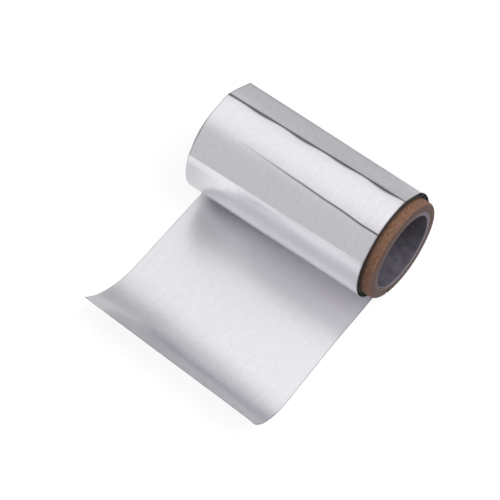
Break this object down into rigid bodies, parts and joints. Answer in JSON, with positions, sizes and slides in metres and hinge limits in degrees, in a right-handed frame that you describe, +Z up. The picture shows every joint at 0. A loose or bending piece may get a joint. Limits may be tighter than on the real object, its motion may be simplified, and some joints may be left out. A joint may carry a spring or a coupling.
{
  "type": "aluminium foil roll",
  "caption": "Short roll of aluminium foil on a thick cardboard core, lying on its side with the free end drawn out from under it and curled up.",
  "frame": {"origin": "on the axis of the core's bore, at the middle of the foil's width", "axes": "+X along the bore towards the longer core stub, +Z up, -Y the way the tail lies"},
  "size_m": [0.1065, 0.1358, 0.0553],
  "materials": {
    "core_board": "brown spirally wound board with plies showing on the cut ends and a grey liner in the bore",
    "foil": "bright rolled foil, shiny on the outside of the roll and satin on the inside face that shows on the tail"
  },
  "bodies": {
    "root": {"core_tube": "core_board", "foil_web": "foil"}
  },
  "joints": []
}
